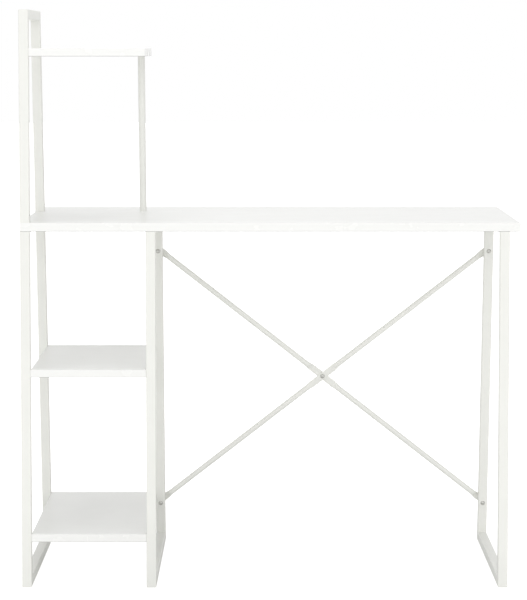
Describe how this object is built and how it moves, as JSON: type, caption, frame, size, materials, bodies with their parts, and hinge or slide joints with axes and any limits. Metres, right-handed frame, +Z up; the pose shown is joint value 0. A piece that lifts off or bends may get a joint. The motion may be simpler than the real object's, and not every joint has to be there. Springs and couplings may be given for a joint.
{
  "type": "writing desk with shelving unit",
  "caption": "White writing desk on slanted square-tube frames, with a side bay of shelves, a raised top shelf and crossed rear braces.",
  "frame": {"origin": "on the floor, under the centre of the desktop", "axes": "+Z up, +X to the user's right along the desktop, +Y from the user's side to the back"},
  "size_m": [1.02, 0.5, 1.185],
  "materials": {
    "frame_paint": "satin white powder coat",
    "board_laminate": "matt white melamine on particle board",
    "fastener_steel": "zinc plated",
    "plug_plastic": "matt white nylon"
  },
  "bodies": {
    "root": {"bottom_shelf": "board_laminate", "brace_bolts": "fastener_steel", "brace_centre_bolt": "fastener_steel", "brace_nuts": "fastener_steel", "desktop": "board_laminate", "desktop_screws": "fastener_steel", "front_brace_tube": "frame_paint", "front_post_plug": "plug_plastic", "left_base_rail": "frame_paint", "left_front_leg": "frame_paint", "left_rear_leg": "frame_paint", "left_top_rail": "frame_paint", "middle_base_rail": "frame_paint", "middle_front_leg": "frame_paint", "middle_rear_leg": "frame_paint", "middle_shelf": "board_laminate", "middle_top_rail": "frame_paint", "post_lock_screws": "fastener_steel", "post_spigots": "fastener_steel", "rear_brace_tube": "frame_paint", "rear_post_plug": "plug_plastic", "right_base_rail": "frame_paint", "right_front_leg": "frame_paint", "right_rear_leg": "frame_paint", "right_top_rail": "frame_paint", "shelf_bolts": "fastener_steel", "shelf_inserts": "fastener_steel", "shelf_upright": "frame_paint", "top_shelf": "board_laminate", "upper_front_post": "frame_paint", "upper_rear_post": "frame_paint", "upper_top_rail": "frame_paint", "upright_bolts": "fastener_steel", "upright_end_plugs": "plug_plastic"}
  },
  "joints": []
}
